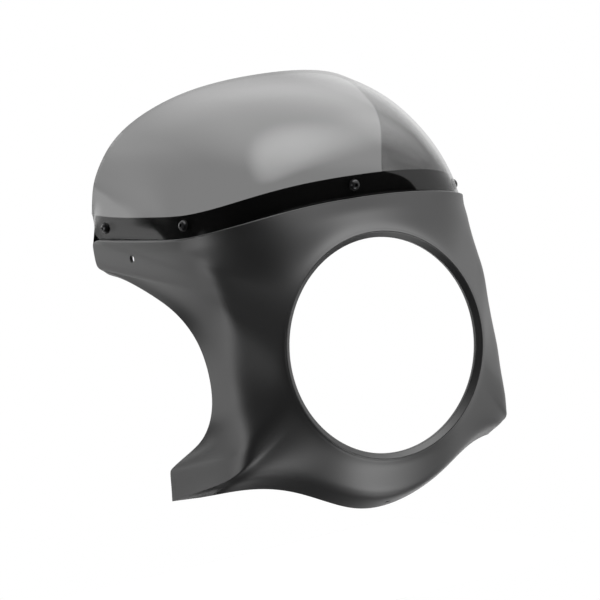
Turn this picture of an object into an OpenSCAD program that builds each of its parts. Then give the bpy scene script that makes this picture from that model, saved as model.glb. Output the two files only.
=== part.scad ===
// Motorcycle headlight fairing: a moulded shell with a screwed-on tinted windscreen.
// Millimetres. X is across the machine, -Y is forward, +Z is up.
// The origin is the centre of the headlight opening, in the plane of its front edge.

/* [Headlight opening] */
// Diameter of the opening that the headlight looks through
opening_d = 200; // [190:1:204]
// Radial width of the lip from the opening to its crest
lip_w = 5.4; // [4:0.2:7]
// How far the edge of the opening lies behind the crest of the lip
lip_depth = 4; // [3:0.5:6]

/* [Shell] */
// Wall of the moulded shell
wall = 3.2; // [2.4:0.1:4]
// Half width of the shell at the shoulders beside the headlight
shoulder_x = 146; // [140:1:150]
// Extra half width at the rear of the upper side panels
panel_spread = 0; // [-4:1:6]
// Distance that the shell stands proud of the windscreen at the step
step_proud = 3.5; // [2:0.5:5]
// Height of the flange that the windscreen is screwed to, at the front
flange_h = 21; // [19:1:25]

/* [Windscreen] */
// Thickness of the tinted sheet
screen_t = 3; // [2:0.5:4]
// Gap between the step of the shell and the lower edge of the sheet
screen_gap = 1; // [0.5:0.5:2]

/* [Fasteners] */
// Thread size of the five screws
screw_d = 5; // [4:0.5:5]
// Diameter of the button heads
head_d = 9.5; // [8:0.5:11]
// Outer diameter of the washers under the heads
washer_d = 11; // [10:0.5:13]
// Height of the screws above the lower edge of the sheet
screw_up = 12; // [10:0.5:14]

/* [Fixing holes] */
// Diameter of the side hole for the headlight bracket
side_hole_d = 8; // [5:0.5:9]
// Diameter of the hole under the chin
chin_hole_d = 5; // [4:0.5:6]

/* [Hidden] */

opening_r = opening_d / 2;
crest_r = opening_r + lip_w;
// the outer surface starts in a small groove behind the crest
groove_r = crest_r + 2.6;
groove_y = 2;
// length of the opening's straight wall
rim_t = 4;
// facets per station of the nets, around and across
AROUND = 2;
ACROSS = 2;

sx = shoulder_x;
ps = panel_spread;

// The stations below count Y from the crest of the lip, which stands ahead of the opening.
module placed() {
    translate([0, -lip_depth, 0]) children();
}

// Left half of the shell, from the top centre round to the chin. Each station holds the angle at
// the lip, the shoulder that its section is drawn over, and its end at the edge of the shell.
STEP_STATIONS = [
    [90, [0, 13, 126], [0, 17, 138]],
    [70, [46, 13, 124], [50, 18, 137]],
    [54, [84, 15, 117], [97, 21, 132]],
    [45, [115, 27, 109], [133, 43, 126]],
    [38, [143, 43, 104], [156, 75, 122]],
    [34, [sx + 6, 54, 98], [161 + ps / 3, 127, 124]],
    [31, [sx + 6, 55, 94], [165 + ps / 2, 180, 127]],
    [28, [sx + 6, 54, 90], [169 + ps, 226, 130]],
    [25, [sx + 5, 53, 86], [170 + ps, 245, 131]]];
REAR_STATIONS = [
    [22, [sx + 4, 51, 82], [170 + ps, 246, 124]],
    [19, [sx + 3, 50, 78], [170 + ps, 245, 109]],
    [16, [sx + 2, 48, 74], [169 + ps, 242, 101]],
    [13, [sx + 1, 45, 67], [168 + ps, 214, 97]],
    [10, [sx, 42, 58], [166 + ps / 2, 174, 87]],
    [6, [sx + 1, 40, 46], [163 + ps / 3, 125, 70]],
    [2, [sx - 3, 38, 32], [160, 91, 53]],
    [-3, [sx - 4, 36, 14], [156, 67, 28]],
    [-8, [sx - 4, 35, -5], [154, 58, -2]],
    [-12, [sx - 3, 33, -23], [155, 58, -29]],
    [-15, [sx - 3, 33, -40], [159, 66, -50]],
    [-17, [sx - 1, 33, -55], [161, 88, -67]],
    [-19, [sx + 1, 33, -67], [164, 127, -82]],
    [-20, [sx + 3, 35, -75], [166, 149, -92]],
    [-21, [sx + 4, 36, -79], [167, 150, -94]],
    [-22, [sx + 5, 38, -87], [167, 152, -110]],
    [-24, [sx + 7, 42, -98], [167, 155, -123]],
    [-24, [sx + 7, 42, -98], [167, 155, -123]],
    [-24, [sx + 7, 42, -98], [167, 155, -123]],
    [-29, [sx + 2, 42, -98.5], [160, 118, -119]],
    [-36, [140, 39, -99.5], [156, 86, -115]],
    [-44, [121, 33, -99], [136, 71, -113]],
    [-52, [100, 30, -105], [112, 58, -115]],
    [-59, [80, 24, -114], [88, 48, -123]],
    [-67, [56, 19, -127], [62, 44, -137]],
    [-78, [28, 18, -139], [32, 51, -151]],
    [-90, [0, 18, -143], [0, 57, -157]]];
// height that the flange gains from the front to the rear corners
flange_rise = 3;
// length by which the edge of the shell runs on past its last station
edge_run = 3;
// part of the way to their neighbours that a crease's copies are spread on the inside
crease_spread = 0.65;

// Windscreen: for each station of the step, the direction that the sheet faces there and the
// points that its section is drawn over, from just above the flange to the rear edge.
SCREEN_STATIONS = [
    [[0, -1, 0], [0, 13, 165], [0, 38, 215], [0, 88, 252], [0, 138, 270]],
    [[0.1, -1, 0], [50, 14, 164], [46, 39, 212], [54, 94, 250], [64, 156, 267]],
    [[0.35, -0.93, 0], [96, 21, 158], [88, 44, 201], [93, 107, 241], [106, 175, 256]],
    [[0.7, -0.7, 0], [126, 46, 148], [122, 64, 184], [125, 128, 229], [134, 198, 240]],
    [[0.93, -0.37, 0], [151, 80, 143], [146, 97, 176], [148, 152, 211], [152, 207, 224]],
    [[1, -0.12, 0], [158, 129, 143], [156, 144, 168], [157, 181, 193], [161, 217, 208]],
    [[1, -0.08, 0], [164, 181, 142], [164, 192, 162], [165, 211, 180], [167, 230, 189]],
    [[1, -0.04, 0], [167, 225, 140], [168, 228, 154], [168, 233, 166], [168, 237, 173]],
    [[1, 0, 0], [168, 243, 138], [168, 242, 146], [168, 241, 152], [169, 241, 158]]];

function unit(v) = v / norm(v);
function lerp(a, b, t) = a + (b - a) * t;
function flip(p) = [-p[0], p[1], p[2]];
function clamp(i, lo, hi) = min(max(i, lo), hi);

// Uniform cubic B-spline, over four values at once and over a list whose ends it meets.
function blend(a, b, c, d, t) =
    (a * pow(1 - t, 3) + b * (3 * t * t * t - 6 * t * t + 4)
        + c * (-3 * t * t * t + 3 * t * t + 3 * t + 1) + d * t * t * t) / 6;
function spline(list, t) =
    let (n = len(list) - 1, i = clamp(floor(t), 0, n - 1), f = t - i)
    blend(i > 0 ? list[i - 1] : 2 * list[0] - list[1], list[i], list[i + 1],
        i + 2 <= n ? list[i + 2] : 2 * list[n] - list[n - 1], f);
// The same round the closed ring of the shell.
function ring(list, t) =
    let (n = len(list), i = floor(t), f = t - i)
    blend(list[(i + n - 1) % n], list[i % n], list[(i + 1) % n], list[(i + 2) % n], f);

// Point at distance d along a polyline.
function along(pts, d, i = 0) =
    let (s = norm(pts[i + 1] - pts[i]))
    d <= s || i + 2 >= len(pts) ? lerp(pts[i], pts[i + 1], d / s) : along(pts, d - s, i + 1);

// Normal of a grid of points, taken one cell in from its borders.
function grid_normal(g, i, j, wrap) =
    let (n = len(g), m = len(g[0]),
        k = wrap ? i + n : clamp(i, 1, n - 2),
        l = clamp(j, 1, m - 2),
        across = g[k % n][l + 1] - g[k % n][l - 1],
        around = g[(k + 1) % n][l] - g[(k - 1) % n][l])
    unit(cross(around, across));

// Windscreen surface

half = len(STEP_STATIONS) - 1;
function screen_foot(k) =
    STEP_STATIONS[k][2] - step_proud * SCREEN_STATIONS[k][0] + [0, 0, screen_gap];
function mirrored(k) = abs(k - half);
function facing(k, p) = k < half ? flip(p) : p;
screen_columns = [for (c = [0:4])
    [for (k = [0:2 * half])
        facing(k, c == 0 ? screen_foot(mirrored(k)) : SCREEN_STATIONS[mirrored(k)][c])]];
// Outer surface of the sheet at station u, which runs from the right end to the left end.
function screen_section(u, steps) =
    let (net = [for (c = [0:4]) spline(screen_columns[c], u)])
    [for (j = [0:steps]) spline(net, 4 * j / steps)];
function screen_grid(per_station, steps) =
    [for (i = [0:2 * half * per_station]) screen_section(i / per_station, steps)];

// Shell surface

left = concat(STEP_STATIONS, REAR_STATIONS);
last = len(left) - 1;
// the whole ring, from the top centre down the left side and up the right
stations = concat(left, [for (k = [last - 1:-1:1])
    [180 - left[k][0], flip(left[k][1]), flip(left[k][2])]]);
ring_n = len(stations);
// angles that go on falling past the chin, so that they blend
angles = [for (k = [0:ring_n + 2])
    let (s = stations[k % ring_n][0])
    k >= ring_n ? s - 360 : k > last ? s - 360 : s];
function lip_angle(t, list = angles) =
    let (i = floor(t))
    blend(i > 0 ? list[i - 1] : 110, list[i], list[i + 1], list[i + 2], t - i);
shoulders = [for (s = stations) s[1]];
ends = [for (s = stations) s[2]];
// Three copies of one station make a crease. For the inside of the wall the outer two are spread
// towards their neighbours, so that it stays round.
function spread(list) =
    let (n = len(list))
    [for (k = [0:n - 1])
        let (p = list[k], before = list[(k + n - 1) % n], after = list[(k + 1) % n])
        p == before && p != after ? lerp(p, after, crease_spread)
        : p == after && p != before ? lerp(p, before, crease_spread)
        : p];
outside = [angles, shoulders, ends];
inside = [for (list = outside) spread(list)];

function polar(r, y, a) = [r * cos(a), y, r * sin(a)];
function section_net(t, face) =
    let (a = lip_angle(t, face[0]), flare = polar(groove_r + 5, groove_y + 4, a),
        s = ring(face[1], t), e = ring(face[2], t))
    [polar(groove_r, groove_y, a), flare, lerp(flare, s, 0.6), s, lerp(s, e, 0.5), e];
function shell_section(t, steps, face) =
    let (net = section_net(t, face))
    [for (j = [0:steps]) spline(net, 5 * j / steps)];
function shell_grid(per_station, steps, face) =
    [for (i = [0:ring_n * per_station - 1]) shell_section(i / per_station, steps, face)];

// True at the stations that carry the flange.
function has_flange(t) = t <= half || t >= ring_n - half;
// The windscreen's own station beside station t of the shell.
function screen_station(t) = t <= half ? t + half : t - ring_n + half;

// Joggle and flange behind the sheet, or the plain edge: pairs of an outer and an inner point.
function shell_border(t, grid, soft, i) =
    let (m = len(grid[0]) - 1, e = grid[i][m], n = grid_normal(grid, i, m, true),
        inner = soft[i][m] - grid_normal(soft, i, m, true) * wall)
    has_flange(t)
    ? let (u = screen_station(t), row = screen_section(u, 24),
        side = unit([n[0], n[1], 0]),
        foot = row[0] - side * screen_t - [0, 0, screen_gap + 0.5],
        h = flange_h + flange_rise * pow((u - half) / half, 2),
        top = along(row, h) - side * screen_t)
        [[e, inner - [0, 0, wall / 2]],
            [foot, foot - side * wall - [0, 0, wall]],
            [top, top - side * wall]]
    : let (d = unit(e - grid[i][m - 1]))
        [for (run = [0:2]) [e, inner] + [d, d] * edge_run * run / 2];

// One closed loop per station: the lip, the outer surface, the border, and back inside.
function shell_loop(t, grid, soft, i) =
    let (a = lip_angle(t), m = len(grid[0]) - 1, b = shell_border(t, grid, soft, i),
        spare = 2, slope = (lip_depth - 0.4) / (lip_w - 1),
        r = opening_r - spare, y = lip_depth + spare * slope)
    concat([polar(r, y, a), polar(crest_r - 1, 0.4, a), polar(crest_r, 0, a),
            polar(crest_r + 1, 0.6, a)],
        [for (j = [0:m - 1]) grid[i][j]],
        [for (p = b) p[0]],
        [for (k = [2:-1:0]) b[k][1]],
        [for (j = [m - 1:-1:1]) soft[i][j] - grid_normal(soft, i, j, true) * wall],
        [polar(crest_r, lip_depth + rim_t, a), polar(r, lip_depth + rim_t, a)]);

// Solid skinned over closed loops that follow each other round a ring.
module skin_ring(loops) {
    n = len(loops);
    m = len(loops[0]);
    points = [for (l = loops) for (p = l) p];
    faces = [for (i = [0:n - 1]) for (j = [0:m - 1])
        let (a = i * m + j, b = i * m + (j + 1) % m,
            c = ((i + 1) % n) * m + (j + 1) % m, d = ((i + 1) % n) * m + j)
        each [[a, b, c], [a, c, d]]];
    polyhedron(points, faces, convexity = 10);
}

// Sheet of even thickness behind a grid of points.
module sheet(grid, t) {
    n = len(grid);
    m = len(grid[0]);
    back = [for (i = [0:n - 1]) [for (j = [0:m - 1])
        grid[i][j] - grid_normal(grid, i, j, false) * t]];
    points = concat([for (r = grid) for (p = r) p], [for (r = back) for (p = r) p]);
    o = n * m;
    faces = concat(
        [for (i = [0:n - 2]) for (j = [0:m - 2])
            let (a = i * m + j, b = a + 1, c = a + m + 1, d = a + m)
            each [[a, b, c], [a, c, d], [a + o, c + o, b + o], [a + o, d + o, c + o]]],
        [for (i = [0:n - 2])
            let (a = i * m, d = a + m, b = a + m - 1, c = d + m - 1)
            each [[a, d, d + o], [a, d + o, a + o], [b, c + o, c], [b, b + o, c + o]]],
        [for (j = [0:m - 2])
            let (a = j, b = j + 1, c = (n - 1) * m + j + 1, d = (n - 1) * m + j)
            each [[a, b + o, b], [a, a + o, b + o], [d, c, c + o], [d, c + o, d + o]]]);
    polyhedron(points, faces, convexity = 10);
}

// Fasteners

// Stations of the screws, right to left, on the windscreen's own count.
SCREWS = [["rear_right", 1.1], ["front_right", 4], ["centre", 8], ["front_left", 12],
    ["rear_left", 14.9]];
function screw_station(name) = [for (s = SCREWS) if (s[0] == name) s[1]][0];
function screw_frame(name) =
    let (u = screw_station(name), p = along(screen_section(u, 24), screw_up),
        q = along(screen_section(u, 24), screw_up + 2),
        a = along(screen_section(u - 0.05, 24), screw_up),
        b = along(screen_section(u + 0.05, 24), screw_up))
    [p, unit(cross(b - a, q - p))];
// Puts children at a screw: their +Z is the way out, and z = 0 lies on the sheet.
module at_screw(name) {
    f = screw_frame(name);
    n = f[1];
    translate(f[0]) rotate([0, acos(n[2]), atan2(n[1], n[0])]) children();
}
clamped = screen_t + wall;
washer_t = 1;
nut_h = 5;
head_h = 2.8;

module screw(name) {
    color("#222222") placed() at_screw(name) difference() {
        union() {
            translate([0, 0, washer_t]) rotate_extrude($fn = 48)
                polygon([[0, 0], [head_d / 2, 0], [head_d / 2, 0.7], [head_d / 2 - 1, 2],
                    [head_d / 2 - 2.4, head_h], [0, head_h]]);
            translate([0, 0, -clamped - nut_h - 1]) cylinder(d = screw_d, h = clamped + nut_h + 3,
                $fn = 32);
        }
        translate([0, 0, washer_t + head_h - 1.8]) cylinder(d = 3 / cos(30), h = 3, $fn = 6);
    }
}
module washer(name) {
    color("#333333") placed() at_screw(name) difference() {
        cylinder(d = washer_d, h = washer_t, $fn = 48);
        translate([0, 0, -1]) cylinder(d = screw_d + 0.4, h = 4, $fn = 32);
    }
}
module nut(name) {
    color("#999999") placed() at_screw(name) translate([0, 0, -clamped - nut_h]) difference() {
        union() {
            cylinder(d = 8 / cos(30), h = nut_h, $fn = 6);
            translate([0, 0, nut_h - 1]) cylinder(d = 11, h = 1, $fn = 48);
        }
        translate([0, 0, -1]) cylinder(d = screw_d, h = nut_h + 2, $fn = 32);
    }
}
module screw_holes(d) {
    for (s = SCREWS) at_screw(s[0]) translate([0, 0, -14]) cylinder(d = d, h = 20, $fn = 32);
}

// Pieces

side_hole = [150, 176, 110];
chin_hole = [0, 41, -148.5];
chin_tilt = 20;

module fairing_shell() {
    grid = shell_grid(AROUND, 5 * ACROSS, outside);
    soft = shell_grid(AROUND, 5 * ACROSS, inside);
    color("#3a3a3c") placed() difference() {
        skin_ring([for (i = [0:len(grid) - 1]) shell_loop(i / AROUND, grid, soft, i)]);
        rotate([90, 0, 0]) translate([0, 0, -30]) cylinder(r = opening_r, h = 60, $fn = 180);
        for (s = [-1, 1]) translate([s * side_hole[0], side_hole[1], side_hole[2]])
            rotate([0, s * 90, 0]) cylinder(d = side_hole_d, h = 40, $fn = 32);
        translate(chin_hole) rotate([-chin_tilt, 0, 0]) cylinder(d = chin_hole_d, h = 30, center = true,
            $fn = 32);
        screw_holes(screw_d + 0.5);
    }
}
module windscreen() {
    color("#5a5a5a", 0.6) placed() difference() {
        sheet(screen_grid(3, 12), screen_t);
        screw_holes(screw_d + 1);
    }
}
module screw_centre() { screw("centre"); }
module screw_front_left() { screw("front_left"); }
module screw_front_right() { screw("front_right"); }
module screw_rear_left() { screw("rear_left"); }
module screw_rear_right() { screw("rear_right"); }
module washer_centre() { washer("centre"); }
module washer_front_left() { washer("front_left"); }
module washer_front_right() { washer("front_right"); }
module washer_rear_left() { washer("rear_left"); }
module washer_rear_right() { washer("rear_right"); }
module nut_centre() { nut("centre"); }
module nut_front_left() { nut("front_left"); }
module nut_front_right() { nut("front_right"); }
module nut_rear_left() { nut("rear_left"); }
module nut_rear_right() { nut("rear_right"); }

fairing_shell();
windscreen();
screw_centre();
screw_front_left();
screw_front_right();
screw_rear_left();
screw_rear_right();
washer_centre();
washer_front_left();
washer_front_right();
washer_rear_left();
washer_rear_right();
nut_centre();
nut_front_left();
nut_front_right();
nut_rear_left();
nut_rear_right();
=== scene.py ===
"""Looks of the motorcycle headlight fairing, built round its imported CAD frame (Blender 4.5)."""

import math

import bpy
import numpy as np
from mathutils import Matrix, Vector


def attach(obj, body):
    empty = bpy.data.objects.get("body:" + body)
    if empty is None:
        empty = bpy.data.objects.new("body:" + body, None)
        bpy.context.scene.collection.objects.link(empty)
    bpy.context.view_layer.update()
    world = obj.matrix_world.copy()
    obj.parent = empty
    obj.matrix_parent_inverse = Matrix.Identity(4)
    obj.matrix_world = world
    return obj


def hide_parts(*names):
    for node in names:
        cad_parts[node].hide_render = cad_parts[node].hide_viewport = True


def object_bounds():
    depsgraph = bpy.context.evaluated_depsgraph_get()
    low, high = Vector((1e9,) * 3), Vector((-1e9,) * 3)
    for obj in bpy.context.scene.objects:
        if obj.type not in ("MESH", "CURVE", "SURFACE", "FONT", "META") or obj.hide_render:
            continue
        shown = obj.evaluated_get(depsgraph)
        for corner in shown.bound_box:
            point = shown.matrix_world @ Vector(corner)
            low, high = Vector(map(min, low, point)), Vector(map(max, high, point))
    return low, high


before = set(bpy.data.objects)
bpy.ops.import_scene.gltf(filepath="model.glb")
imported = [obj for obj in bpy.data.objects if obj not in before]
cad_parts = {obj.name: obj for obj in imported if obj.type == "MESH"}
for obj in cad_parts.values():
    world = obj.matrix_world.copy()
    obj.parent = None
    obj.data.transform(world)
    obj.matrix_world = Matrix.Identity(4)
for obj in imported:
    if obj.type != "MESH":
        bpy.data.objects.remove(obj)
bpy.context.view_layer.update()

MM = 0.001

# sizes, in mm, as in the CAD source

# the lip crest stands this far ahead of the opening's front edge, which is Y = 0
LIP_DEPTH = 4.0
OPENING_R = 100.0
CREST_R = 105.4
GROOVE_R = 108.0
GROOVE_Y = 2.0
WALL = 3.2
RIM_WALL = 4.0
EDGE_RUN = 3.0
# part of the way to their neighbours that a crease's copies are spread
SPREAD = 0.65
STEP_PROUD = 3.5
FLANGE_H = 21.0
FLANGE_RISE = 3.0
SCREEN_T = 3.0
SCREEN_GAP = 1.0
# the flange is drawn this far behind the sheet, so that their faces don't coincide
FLANGE_GAP = 0.15
SHOULDER_X = 146.0
SIDE_HOLE = (150.0, 176.0, 110.0)
SIDE_HOLE_D = 8.0
CHIN_HOLE = (0.0, 41.0, -148.5)
CHIN_TILT = 20.0
CHIN_HOLE_D = 5.0
SCREW_D = 5.0
SCREW_UP = 12.0
# how much wider than the screw the holes in the shell and in the sheet are
SHELL_HOLE_SPARE = 0.5
SCREEN_HOLE_SPARE = 1.0
# small roundings: the step's lip, the plain edge's outer corner, and every other corner
STEP_ROUND = 1.4
EDGE_ROUND = 1.3
CORNER_ROUND = 0.8

# steps of the meshes between two stations, and across a section
SHELL_STEPS = (6, 30)
SCREEN_STEPS = (8, 48)
# steps of a section where only a place on it is looked up
LOOKUP_STEPS = 24

SX = SHOULDER_X

# Stations of the left half of the shell, from the top centre to the chin: the angle at the lip,
# the shoulder that the section is drawn over, and its end at the edge of the shell. The shoulders
# under the windscreen and beside the bar cut-out are tuned to the photograph's highlights, and lie
# up to 9 mm from the source's.
STEP_STATIONS = [
    (90, (0, 13, 126), (0, 17, 138)),
    (70, (46, 13, 124), (50, 18, 137)),
    (54, (84, 15, 117), (97, 21, 132)),
    (45, (117.5, 30, 109), (133, 43, 126)),
    (38, (143, 52, 102.5), (156, 75, 122)),
    (34, (SX + 3.5, 58.5, 101), (161, 127, 124)),
    (31, (SX + 4.5, 57, 94), (164.5, 180, 127)),
    (28, (SX + 4.7, 56, 90), (169, 226, 130)),
    (25, (SX + 4.5, 54.6, 86), (170, 245, 131)),
]
REAR_STATIONS = [
    (22, (SX + 4, 52.8, 81.5), (170, 246, 124)),
    (19, (SX + 3.5, 51.3, 78), (170, 245, 109)),
    (16, (SX + 3, 49.4, 74), (169, 243, 102)),
    (13, (SX + 2, 46, 67), (168, 214, 98)),
    (10, (SX + 1, 42.6, 58), (166, 174, 87)),
    (6, (SX - 0.5, 39.8, 46), (163, 125, 70)),
    (2, (SX - 2.5, 37.8, 32), (160, 91, 53)),
    (-3, (SX - 4, 36, 14), (156, 67, 28)),
    (-8, (SX - 4, 35, -5), (154, 58, -2)),
    (-12, (SX - 3, 33, -23), (155, 58, -29)),
    (-15, (SX - 3, 33, -40), (159, 66, -50)),
    (-17, (SX - 1, 33, -55), (161, 88, -67)),
    (-19, (SX + 1, 33, -67), (164, 127, -82)),
    (-20, (SX + 3, 35, -75), (166, 149, -92)),
    (-21, (SX + 4, 36, -79), (167, 150, -94)),
    (-22, (SX + 5, 38, -87), (167, 152, -110)),
    (-24, (SX + 7, 42, -98), (167, 155, -123)),
    (-24, (SX + 7, 42, -98), (167, 155, -123)),
    (-24, (SX + 7, 42, -98), (167, 155, -123)),
    (-29, (SX + 2, 42, -98.5), (160, 118, -119)),
    (-36, (140, 39, -99.5), (156, 86, -115)),
    (-44, (121, 33, -99), (136, 71, -113)),
    (-52, (100, 30, -105), (112, 58, -115)),
    (-59, (80, 24, -114), (88, 48, -123)),
    (-67, (56, 19, -127), (62, 44, -137)),
    (-78, (28, 18, -139), (32, 51, -151)),
    (-90, (0, 18, -143), (0, 57, -157)),
]

# Stations of the windscreen above each station of the step: the way that the sheet faces at its
# foot, and the points that its section is drawn over, up to the rear edge.
SCREEN_STATIONS = [
    ((0, -1, 0), (0, 13, 165), (0, 38, 215), (0, 88, 252), (0, 138, 270)),
    ((0.1, -1, 0), (50, 14, 164), (46, 39, 212), (54, 94, 250), (64, 156, 267)),
    ((0.35, -0.93, 0), (96, 21, 158), (88, 44, 201), (93, 107, 241), (106, 175, 256)),
    ((0.7, -0.7, 0), (126, 46, 148), (122, 64, 184), (125, 128, 229), (134, 198, 240)),
    ((0.93, -0.37, 0), (151, 80, 143), (146, 97, 176), (148, 152, 211), (152, 207, 224)),
    ((1, -0.12, 0), (158, 129, 143), (156, 144, 168), (157, 181, 193), (161, 217, 208)),
    ((1, -0.08, 0), (164, 181, 142), (164, 192, 162), (165, 211, 180), (167, 230, 189)),
    ((1, -0.04, 0), (167, 225, 140), (168, 228, 154), (168, 233, 166), (168, 237, 173)),
    ((1, 0, 0), (168, 243, 138), (168, 242, 146), (168, 241, 152), (169, 241, 158)),
]

# stations of the screws on the windscreen, counted from the rider's right
SCREWS = (1.1, 4.0, 8.0, 12.0, 14.9)

# surfaces


def blend(a, b, c, d, t):
    """Uniform cubic B-spline over four control values."""
    return (
        a * (1 - t) ** 3
        + b * (3 * t**3 - 6 * t**2 + 4)
        + c * (-3 * t**3 + 3 * t**2 + 3 * t + 1)
        + d * t**3
    ) / 6


def spline(values, t):
    """B-spline over a list of control values, meeting its two ends."""
    n = len(values) - 1
    i = min(max(int(math.floor(t)), 0), n - 1)
    before = values[i - 1] if i > 0 else 2 * values[0] - values[1]
    after = values[i + 2] if i + 2 <= n else 2 * values[n] - values[n - 1]
    return blend(before, values[i], values[i + 1], after, t - i)


def ring(values, t):
    """The same round a closed ring."""
    n = len(values)
    i = int(math.floor(t))
    return blend(values[(i - 1) % n], values[i % n], values[(i + 1) % n], values[(i + 2) % n], t - i)


def flip(p):
    return np.array((-p[0], p[1], p[2]), float)


def unit(v):
    return v / np.linalg.norm(v)


def along(points, d):
    """Point at distance d along a polyline."""
    for a, b in zip(points, points[1:]):
        s = np.linalg.norm(b - a)
        if d <= s:
            return a + (b - a) * (d / s)
        d -= s
    return points[-1]


HALF = len(STEP_STATIONS) - 1


def screen_control(k, column):
    """Control point of the windscreen's net at station k, right to left."""
    m = abs(k - HALF)
    if column == 0:
        p = (
            np.array(STEP_STATIONS[m][2], float)
            - STEP_PROUD * np.array(SCREEN_STATIONS[m][0], float)
            + np.array((0, 0, SCREEN_GAP))
        )
    else:
        p = np.array(SCREEN_STATIONS[m][column], float)
    return flip(p) if k < HALF else p


SCREEN_NET = [[screen_control(k, c) for k in range(2 * HALF + 1)] for c in range(5)]


def screen_section(u, steps):
    net = [spline(column, u) for column in SCREEN_NET]
    return [spline(net, 4 * j / steps) for j in range(steps + 1)]


LEFT = STEP_STATIONS + REAR_STATIONS
ANGLES = [s[0] for s in LEFT] + [180 - s[0] - 360 for s in LEFT[-2:0:-1]]
SHOULDERS = [np.array(s[1], float) for s in LEFT] + [flip(s[1]) for s in LEFT[-2:0:-1]]
ENDS = [np.array(s[2], float) for s in LEFT] + [flip(s[2]) for s in LEFT[-2:0:-1]]
RING_N = len(ENDS)


def spread(values):
    """Stations with the copies that make a crease spread out, so that the surface stays round."""
    out = list(values)
    for k, (before, p, after) in enumerate(
        zip(values[-1:] + values[:-1], values, values[1:] + values[:1])
    ):
        same_before, same_after = np.array_equal(p, before), np.array_equal(p, after)
        if same_before and not same_after:
            out[k] = p + (after - p) * SPREAD
        elif same_after and not same_before:
            out[k] = p + (before - p) * SPREAD
    return out


# angles, waists, shoulders and ends; the crease starts below the waists
OUTSIDE = (spread(ANGLES), spread(SHOULDERS), SHOULDERS, ENDS)
INSIDE = (OUTSIDE[0], OUTSIDE[1], OUTSIDE[1], spread(ENDS))


def lip_angle(t, angles=OUTSIDE[0]):
    def angle(k):
        return angles[k % RING_N] - 360 * (k // RING_N)

    i = int(math.floor(t))
    return blend(angle(i - 1), angle(i), angle(i + 1), angle(i + 2), t - i)


def polar(r, y, a):
    return np.array((r * math.cos(math.radians(a)), y, r * math.sin(math.radians(a))))


def shell_section(t, steps, face=OUTSIDE):
    angles, waists, shoulders, ends = face
    a = lip_angle(t, angles)
    flare = polar(GROOVE_R + 5, GROOVE_Y + 4, a)
    w, s, e = ring(waists, t), ring(shoulders, t), ring(ends, t)
    net = [polar(GROOVE_R, GROOVE_Y, a), flare, flare + (w - flare) * 0.6, s, (s + e) / 2, e]
    return [spline(net, 5 * j / steps) for j in range(steps + 1)]


def grid_normals(grid, wrap):
    """Outward normals of a grid of points, borders taken one cell in."""
    n, m = grid.shape[:2]
    rows = np.arange(n) if wrap else np.clip(np.arange(n), 1, n - 2)
    cols = np.clip(np.arange(m), 1, m - 2)
    across = grid[rows][:, cols + 1] - grid[rows][:, cols - 1]
    around = grid[(rows + 1) % n][:, cols] - grid[(rows - 1) % n][:, cols]
    normal = np.cross(around, across)
    return normal / np.linalg.norm(normal, axis=2)[..., None]


def has_flange(t):
    return t <= HALF or t >= RING_N - HALF


def screen_station(t):
    return t + HALF if t <= HALF else t - RING_N + HALF


def arc(centre, a, b, steps):
    """Quarter turn from centre + a to centre + b."""
    return [
        centre + a * math.cos(math.pi / 2 * k / steps) + b * math.sin(math.pi / 2 * k / steps)
        for k in range(steps + 1)
    ]


def shell_border(t, e, before, n, inner, n_inner):
    """Closing profile at the edge: the rounded step and the flange, or the plain rounded edge."""
    up = np.array((0.0, 0.0, 1.0))
    if has_flange(t):
        u = screen_station(t)
        row = screen_section(u, SCREEN_STEPS[1])
        height = FLANGE_H + FLANGE_RISE * ((u - HALF) / HALF) ** 2
        side = unit(np.array((n[0], n[1], 0.0)))
        behind = side * (SCREEN_T + FLANGE_GAP)
        foot = row[0] - behind - up * (SCREEN_GAP + 0.5)
        low, mid, top = (along(row, height * part) - behind for part in (0.12, 0.5, 1))
        r, c = STEP_ROUND, CORNER_ROUND
        return (
            arc(e - n * r - up * 0.2, n * r, up * r, 5)
            + [foot + side * 0.4, foot + up * 0.6, low, mid]
            + arc(top - side * c - up * c, side * c, up * c, 3)
            + arc(top - side * (WALL - c) - up * c, up * c, -side * c, 3)
            + [mid - side * WALL, low - side * WALL, foot - side * WALL - up * WALL]
            + [inner - n_inner * WALL - up * WALL / 2]
        )
    d = unit(e - before)
    end = e + d * EDGE_RUN
    back = inner + d * EDGE_RUN - n_inner * WALL
    r, c = EDGE_ROUND, CORNER_ROUND
    return (
        [e + d * EDGE_RUN * 0.07 * k for k in range(8)]
        + arc(end - n * r - d * r, n * r, d * r, 5)
        + [end - n * r - (n_inner * WALL - n * r) * 0.3]
        + arc(back - d * c + n_inner * c, d * c, -n_inner * c, 5)
        + [inner - n_inner * WALL]
    )


# The lip's profile as radius and depth behind the crest: its front, from the opening's wall over
# the sloping face and the crest to the groove outside it, and its back.
LIP_SLOPE = (LIP_DEPTH - 0.4) / (CREST_R - 1 - OPENING_R)
LIP_FRONT = (
    (OPENING_R, LIP_DEPTH + 0.35),
    (OPENING_R + 0.15, LIP_DEPTH),
    (OPENING_R + 0.5, LIP_DEPTH - 0.5 * LIP_SLOPE),
    (CREST_R - 1.6, 0.4 + 0.8 * LIP_SLOPE),
    (CREST_R - 1.0, 0.35),
    (CREST_R - 0.6, 0.1),
    (CREST_R - 0.1, 0.0),
    (CREST_R + 0.4, 0.15),
    (CREST_R + 0.8, 0.6),
    (CREST_R + 1.3, 1.15),
    (CREST_R + 1.9, 1.55),
)
LIP_BACK = (
    (CREST_R, LIP_DEPTH + RIM_WALL),
    (OPENING_R + 0.5, LIP_DEPTH + RIM_WALL),
    (OPENING_R, LIP_DEPTH + RIM_WALL - 0.4),
)


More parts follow.
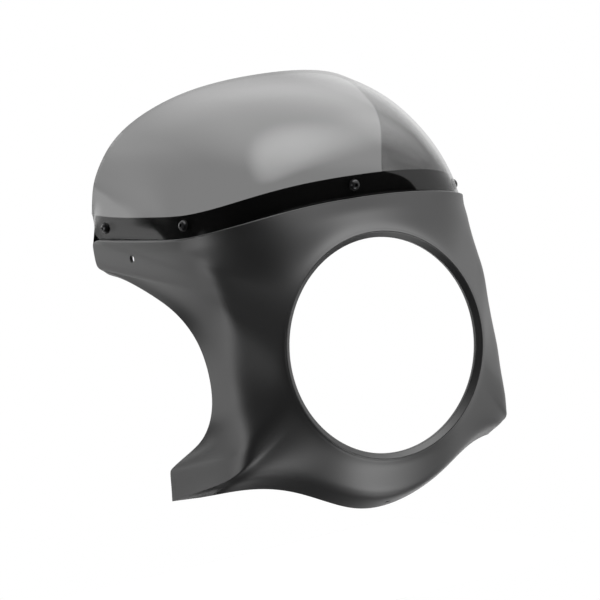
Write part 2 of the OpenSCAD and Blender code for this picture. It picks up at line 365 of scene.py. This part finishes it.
def shell_mesh():
    """Closed loops of points round the wall, one for each step round the ring."""
    per_station, across = SHELL_STEPS
    ts = [i / per_station for i in range(RING_N * per_station)]
    grid = np.array([shell_section(t, across) for t in ts])
    normals = grid_normals(grid, True)
    soft = np.array([shell_section(t, across, INSIDE) for t in ts])
    soft_normals = grid_normals(soft, True)
    loops = []
    for i, t in enumerate(ts):
        a = lip_angle(t)
        border = shell_border(
            t, grid[i, -1], grid[i, -2], normals[i, -1], soft[i, -1], soft_normals[i, -1]
        )
        inner = soft[i, 1:-1] - soft_normals[i, 1:-1] * WALL
        front, back = ([polar(r, y, a) for r, y in face] for face in (LIP_FRONT, LIP_BACK))
        loops.append(front + list(grid[i, :-1]) + border + list(inner[::-1]) + back)
    return np.array(loops)


def to_metres(points):
    """CAD millimetres, Y counted from the crest, to the frame's metres."""
    return (np.asarray(points, float) - np.array((0.0, LIP_DEPTH, 0.0))) * MM


def new_object(name, verts, faces, smooth=True):
    mesh = bpy.data.meshes.new(name)
    mesh.from_pydata([tuple(map(float, v)) for v in verts], [], faces)
    mesh.validate()
    obj = bpy.data.objects.new(name, mesh)
    bpy.context.scene.collection.objects.link(obj)
    for p in mesh.polygons:
        p.use_smooth = smooth
    return obj


def ring_object(name, loops):
    n, m = loops.shape[:2]
    faces = [
        (i * m + j, ((i + 1) % n) * m + j, ((i + 1) % n) * m + (j + 1) % m, i * m + (j + 1) % m)
        for i in range(n)
        for j in range(m)
    ]
    return new_object(name, to_metres(loops.reshape(-1, 3)), faces)


def screen_object(name):
    """The tinted sheet: an outer and an inner face, joined by flat faces round its edges."""
    per_station, across = SCREEN_STEPS
    us = [i / per_station for i in range(2 * HALF * per_station + 1)]
    grid = np.array([screen_section(u, across) for u in us])
    back = grid - grid_normals(grid, False) * SCREEN_T
    n, m = grid.shape[:2]
    verts = list(grid.reshape(-1, 3)) + list(back.reshape(-1, 3))
    o = n * m
    faces = []
    for i in range(n - 1):
        for j in range(m - 1):
            a, b, c, d = i * m + j, i * m + j + 1, (i + 1) * m + j + 1, (i + 1) * m + j
            faces.append((a, d, c, b))
            faces.append((a + o, b + o, c + o, d + o))
    for i in range(n - 1):
        a, d = i * m, (i + 1) * m
        faces.append((a, a + o, d + o, d))
        b, c = a + m - 1, d + m - 1
        faces.append((b, c, c + o, b + o))
    for j in range(m - 1):
        faces.append((j, j + 1, j + 1 + o, j + o))
        a, b = (n - 1) * m + j, (n - 1) * m + j + 1
        faces.append((a, a + o, b + o, b))
    return new_object(name, to_metres(verts), faces)


def screw_frame(u):
    """Point on the windscreen at station u, and the way out there."""
    middle = screen_section(u, LOOKUP_STEPS)
    p, q = along(middle, SCREW_UP), along(middle, SCREW_UP + 2)
    a, b = (along(screen_section(u + du, LOOKUP_STEPS), SCREW_UP) for du in (-0.05, 0.05))
    return p, unit(np.cross(b - a, q - p))


def cutter(point, direction, diameter, length, segments=48):
    """Cylinder along a direction, used to cut a hole."""
    bpy.ops.mesh.primitive_cylinder_add(
        vertices=segments, radius=diameter / 2 * MM, depth=length * MM
    )
    obj = bpy.context.object
    obj.matrix_world = Matrix.Translation(Vector(to_metres(point))) @ Vector(
        direction
    ).to_track_quat("Z", "Y").to_matrix().to_4x4()
    return obj


def cut(obj, cutters):
    """Cuts holes and bakes the result into the mesh."""
    for c in cutters:
        mod = obj.modifiers.new("cut", "BOOLEAN")
        mod.operation = "DIFFERENCE"
        mod.solver = "EXACT"
        mod.object = c
    deps = bpy.context.evaluated_depsgraph_get()
    mesh = bpy.data.meshes.new_from_object(obj.evaluated_get(deps))
    obj.modifiers.clear()
    obj.data = mesh
    for c in cutters:
        bpy.data.objects.remove(c, do_unlink=True)


def smooth_by_angle(obj, degrees):
    """Smooth shading with sharp edges above an angle."""
    obj.data.shade_smooth()
    obj.data.set_sharp_from_angle(angle=math.radians(degrees))


# materials


def node_material(name):
    mat = bpy.data.materials.new(name)
    mat.use_nodes = True
    tree = mat.node_tree
    return mat, tree.nodes, tree.links, tree.nodes["Principled BSDF"]


def add_noise(nodes, links, scale, detail, rough=0.5):
    coords = nodes.new("ShaderNodeTexCoord")
    noise = nodes.new("ShaderNodeTexNoise")
    noise.inputs["Scale"].default_value = scale
    noise.inputs["Detail"].default_value = detail
    noise.inputs["Roughness"].default_value = rough
    links.new(coords.outputs["Object"], noise.inputs["Vector"])
    return noise


def add_range(nodes, links, source, low, high):
    """Maps a 0 to 1 source to low to high."""
    r = nodes.new("ShaderNodeMapRange")
    r.inputs["To Min"].default_value = low
    r.inputs["To Max"].default_value = high
    links.new(source, r.inputs["Value"])
    return r.outputs["Result"]


def add_bump(nodes, links, source, bsdf, strength, distance):
    bump = nodes.new("ShaderNodeBump")
    bump.inputs["Strength"].default_value = strength
    bump.inputs["Distance"].default_value = distance
    links.new(source, bump.inputs["Height"])
    links.new(bump.outputs["Normal"], bsdf.inputs["Normal"])


def shell_material():
    """Matt black moulded plastic with a very fine grain."""
    mat, nodes, links, bsdf = node_material("shell_plastic")
    grain = add_noise(nodes, links, 2600, 2)
    patches = add_noise(nodes, links, 14, 3)
    tone = nodes.new("ShaderNodeMix")
    tone.data_type = "RGBA"
    tone.inputs["A"].default_value = (0.0055, 0.0055, 0.0058, 1)
    tone.inputs["B"].default_value = (0.0070, 0.0069, 0.0073, 1)
    links.new(patches.outputs["Fac"], tone.inputs["Factor"])
    links.new(tone.outputs["Result"], bsdf.inputs["Base Color"])
    links.new(
        add_range(nodes, links, patches.outputs["Fac"], 0.43, 0.47), bsdf.inputs["Roughness"]
    )
    bsdf.inputs["Specular IOR Level"].default_value = 0.75
    bsdf.inputs["IOR"].default_value = 1.5
    add_bump(nodes, links, grain.outputs["Fac"], bsdf, 0.12, 0.00005)
    return mat


def screen_material():
    """Smoke-tinted polished acrylic."""
    mat, nodes, links, bsdf = node_material("smoke_acrylic")
    bsdf.inputs["Base Color"].default_value = (0.003, 0.003, 0.003, 1)
    bsdf.inputs["Roughness"].default_value = 0.02
    bsdf.inputs["IOR"].default_value = 1.49
    bsdf.inputs["Specular IOR Level"].default_value = 0.75
    bsdf.inputs["Alpha"].default_value = 0.55
    wave = add_noise(nodes, links, 9, 1)
    add_bump(nodes, links, wave.outputs["Fac"], bsdf, 0.04, 0.0004)
    return mat


def screw_material():
    mat, nodes, links, bsdf = node_material("black_screw")
    wear = add_noise(nodes, links, 900, 3)
    bsdf.inputs["Base Color"].default_value = (0.02, 0.02, 0.021, 1)
    bsdf.inputs["Metallic"].default_value = 0.5
    links.new(add_range(nodes, links, wear.outputs["Fac"], 0.22, 0.38), bsdf.inputs["Roughness"])
    add_bump(nodes, links, wear.outputs["Fac"], bsdf, 0.05, 0.00003)
    return mat


def washer_material():
    mat, nodes, links, bsdf = node_material("washer_plastic")
    grain = add_noise(nodes, links, 1500, 2)
    bsdf.inputs["Base Color"].default_value = (0.008, 0.008, 0.008, 1)
    bsdf.inputs["Specular IOR Level"].default_value = 0.2
    links.new(add_range(nodes, links, grain.outputs["Fac"], 0.45, 0.6), bsdf.inputs["Roughness"])
    add_bump(nodes, links, grain.outputs["Fac"], bsdf, 0.1, 0.00003)
    return mat


def nut_material():
    mat, nodes, links, bsdf = node_material("zinc_nut")
    grain = add_noise(nodes, links, 700, 4)
    tone = nodes.new("ShaderNodeMix")
    tone.data_type = "RGBA"
    tone.inputs["A"].default_value = (0.46, 0.47, 0.48, 1)
    tone.inputs["B"].default_value = (0.62, 0.62, 0.62, 1)
    links.new(grain.outputs["Fac"], tone.inputs["Factor"])
    links.new(tone.outputs["Result"], bsdf.inputs["Base Color"])
    bsdf.inputs["Metallic"].default_value = 1.0
    links.new(add_range(nodes, links, grain.outputs["Fac"], 0.28, 0.42), bsdf.inputs["Roughness"])
    return mat


# camera

CAMERA_YAW, CAMERA_PITCH, CAMERA_ROLL = map(math.radians, (-28.37, 3.45, 8.29))
CAMERA_DISTANCE = 2.0
CAMERA_FOCAL_PX = 2167.8
IMAGE_PX = 600
# pixel of the photograph in which the centre of the lip lies
LIP_CENTRE_PX = (387.2, 345.0)
SENSOR_MM = 36.0


def make_camera():
    sy, cy = math.sin(CAMERA_YAW), math.cos(CAMERA_YAW)
    sp, cp = math.sin(CAMERA_PITCH), math.cos(CAMERA_PITCH)
    back = np.array((sy * cp, -cy * cp, sp))
    right = np.array((cy, sy, 0.0))
    up = np.cross(back, right)
    cr, sr = math.cos(CAMERA_ROLL), math.sin(CAMERA_ROLL)
    rows = np.array((cr * right - sr * up, sr * right + cr * up, back))
    scale = CAMERA_DISTANCE / CAMERA_FOCAL_PX
    offset = np.array(
        (
            (LIP_CENTRE_PX[0] - IMAGE_PX / 2) * scale,
            -(LIP_CENTRE_PX[1] - IMAGE_PX / 2) * scale,
            -CAMERA_DISTANCE,
        )
    )
    place = -rows.T @ offset - np.array((0, LIP_DEPTH * MM, 0))
    data = bpy.data.cameras.new("camera")
    data.sensor_width = SENSOR_MM
    data.lens = CAMERA_FOCAL_PX / IMAGE_PX * SENSOR_MM
    camera = bpy.data.objects.new("camera", data)
    bpy.context.scene.collection.objects.link(camera)
    camera.matrix_world = Matrix.Translation(Vector(place)) @ Matrix(rows.T.tolist()).to_4x4()
    bpy.context.scene.camera = camera


make_camera()

# the shell and the windscreen

shell = ring_object("shell_moulding", shell_mesh())
screw_places = [screw_frame(u) for u in SCREWS]


def screw_cutters(spare):
    """Cutters of the five screw holes, wider than the screw by spare."""
    return [cutter(p - n * (SCREEN_T + 1), n, SCREW_D + spare, 20) for p, n in screw_places]


side_cutters = [
    cutter((s * SIDE_HOLE[0], SIDE_HOLE[1], SIDE_HOLE[2]), (s, 0, 0), SIDE_HOLE_D, 40)
    for s in (-1, 1)
]
tilt = math.radians(CHIN_TILT)
chin_cutter = cutter(CHIN_HOLE, (0, -math.sin(tilt), -math.cos(tilt)), CHIN_HOLE_D, 30)
cut(shell, side_cutters + [chin_cutter] + screw_cutters(SHELL_HOLE_SPARE))
smooth_by_angle(shell, 40)
shell.data.materials.clear()
shell.data.materials.append(shell_material())
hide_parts("fairing_shell")
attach(shell, "root")

screen = screen_object("tinted_sheet")
cut(screen, screw_cutters(SCREEN_HOLE_SPARE))
smooth_by_angle(screen, 50)
screen.data.materials.clear()
screen.data.materials.append(screen_material())
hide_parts("windscreen")
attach(screen, "root")

# fasteners keep their CAD solids

FINISHES = {"screw": screw_material(), "washer": washer_material(), "nut": nut_material()}
for node_name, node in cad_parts.items():
    kind = node_name.split("_")[0]
    if kind in FINISHES:
        node.data.materials.clear()
        node.data.materials.append(FINISHES[kind])
        for polygon in node.data.polygons:
            polygon.material_index = 0

# studio


def heading(azimuth, elevation):
    """Direction by its angle from straight ahead (-Y) towards +X, and its angle above level."""
    a, e = math.radians(azimuth), math.radians(elevation)
    return (math.sin(a) * math.cos(e), -math.cos(a) * math.cos(e), math.sin(e))


# radiance of the white backdrop, and the direction that it stands in
BACKDROP = 1.0
BACKDROP_FACES = heading(127.3, 16)
# sines of the elevations between which its side goes from sharp to soft, and between which its
# lower and upper edges fade
BACKDROP_SOFT = (0.06, 0.2)
BACKDROP_FOOT = (-0.72, -0.5)
BACKDROP_HEAD = (0.72, 1.0)
# softboxes: their direction, the radius of the even part and of the whole in degrees, and level
SOFTBOXES = (
    dict(toward=heading(13, 60), inner=2, outer=33, level=3.6),
    dict(toward=heading(110, 74), inner=14, outer=50, level=2.2),
    dict(toward=heading(82, 38), inner=5, outer=24, level=1.0),
    dict(toward=heading(126, 21), inner=6, outer=22, level=0.8),
    dict(toward=heading(-89, -1), inner=4, outer=18, level=5.5),
    dict(toward=heading(-115, -6), inner=5, outer=16, level=2.8),
    dict(toward=heading(110, -72), inner=4, outer=14, level=3.0),
    dict(toward=heading(-128, -31), inner=5, outer=10, level=3.9),
    dict(toward=heading(-157, 10), inner=9, outer=15, level=3.0),
    dict(toward=heading(27, -54), inner=4, outer=22, level=7.7),
    dict(toward=heading(59, 24), inner=5, outer=15, level=0.5),
)
# level of the dark studio in front of the object
DARK_LEVEL = 0.01


class LightField:
    """Builds a radiance from the direction that a ray leaves in."""

    def __init__(self, tree):
        self.nodes, self.links = tree.nodes, tree.links
        self.direction = self.nodes.new("ShaderNodeTexCoord").outputs["Generated"]

    def dot(self, vector):
        node = self.nodes.new("ShaderNodeVectorMath")
        node.operation = "DOT_PRODUCT"
        node.inputs[1].default_value = tuple(Vector(vector).normalized())
        self.links.new(self.direction, node.inputs[0])
        return node.outputs["Value"]

    def ramp(self, value, low, high):
        node = self.nodes.new("ShaderNodeMapRange")
        node.interpolation_type = "SMOOTHSTEP"
        self.links.new(value, node.inputs["Value"])
        node.inputs["From Min"].default_value = low
        node.inputs["From Max"].default_value = high
        return node.outputs["Result"]

    def math(self, operation, *values):
        node = self.nodes.new("ShaderNodeMath")
        node.operation = operation
        for socket, value in zip(node.inputs, values):
            if isinstance(value, (int, float)):
                socket.default_value = value
            else:
                self.links.new(value, socket)
        return node.outputs[0]

    def spot(self, toward, inner, outer, level):
        edges = (math.cos(math.radians(r)) for r in (outer, inner))
        mask = self.ramp(self.dot(toward), *edges)
        return self.math("MULTIPLY", mask, level)


def make_world():
    world = bpy.data.worlds.new("studio")
    bpy.context.scene.world = world
    world.use_nodes = True
    tree = world.node_tree
    tree.nodes.clear()
    field = LightField(tree)
    height = field.dot((0, 0, 1))
    side = field.dot(BACKDROP_FACES)
    sharp, soft = field.ramp(side, -0.01, 0.01), field.ramp(side, -0.15, 0.15)
    softened = field.math("SUBTRACT", soft, sharp)
    beside = field.math("MULTIPLY_ADD", softened, field.ramp(height, *BACKDROP_SOFT), sharp)
    above, over = field.ramp(height, *BACKDROP_FOOT), field.ramp(height, *BACKDROP_HEAD)
    backdrop = field.math("MULTIPLY", beside, field.math("SUBTRACT", above, over))
    level = field.math("MULTIPLY_ADD", backdrop, BACKDROP, DARK_LEVEL)
    for softbox in SOFTBOXES:
        level = field.math("ADD", level, field.spot(**softbox))
    path = tree.nodes.new("ShaderNodeLightPath")
    mirrored = field.math("MULTIPLY", path.outputs["Is Glossy Ray"], backdrop)
    level = field.math("MAXIMUM", level, mirrored)
    studio = tree.nodes.new("ShaderNodeBackground")
    studio.inputs["Color"].default_value = (1, 1, 1, 1)
    tree.links.new(level, studio.inputs["Strength"])
    white = tree.nodes.new("ShaderNodeBackground")
    white.inputs["Color"].default_value = (1, 1, 1, 1)
    white.inputs["Strength"].default_value = 1.0
    seen = field.math("MAXIMUM", path.outputs["Is Camera Ray"], path.outputs["Is Transmission Ray"])
    mix = tree.nodes.new("ShaderNodeMixShader")
    tree.links.new(seen, mix.inputs["Fac"])
    tree.links.new(studio.outputs["Background"], mix.inputs[1])
    tree.links.new(white.outputs["Background"], mix.inputs[2])
    out = tree.nodes.new("ShaderNodeOutputWorld")
    tree.links.new(mix.outputs["Shader"], out.inputs["Surface"])


# the floor, in metres: how far below the object it lies, and its edges
FLOOR_DROP = 0.16
FLOOR_FRONT = 0.35
FLOOR_BACK = 0.8
FLOOR_SIDE = 0.45


def make_floor():
    """A white floor below and behind the object, so that it doesn't light the underside."""
    low = float(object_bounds()[0][2])
    z = low - FLOOR_DROP
    front, back, side = FLOOR_FRONT, FLOOR_BACK, FLOOR_SIDE
    floor = new_object(
        "floor",
        [(-side, front, z), (side, front, z), (side, back, z), (-side, back, z)],
        [(0, 1, 2, 3)],
    )
    mat, nodes, links, bsdf = node_material("floor_white")
    bsdf.inputs["Base Color"].default_value = (0.85, 0.85, 0.85, 1)
    bsdf.inputs["Roughness"].default_value = 0.6
    glow = nodes.new("ShaderNodeEmission")
    glow.inputs["Color"].default_value = (1, 1, 1, 1)
    glow.inputs["Strength"].default_value = 0.5
    add = nodes.new("ShaderNodeAddShader")
    links.new(bsdf.outputs["BSDF"], add.inputs[0])
    links.new(glow.outputs["Emission"], add.inputs[1])
    links.new(add.outputs["Shader"], nodes["Material Output"].inputs["Surface"])
    floor.data.materials.append(mat)


make_world()
make_floor()
bpy.context.scene.view_settings.view_transform = "Standard"
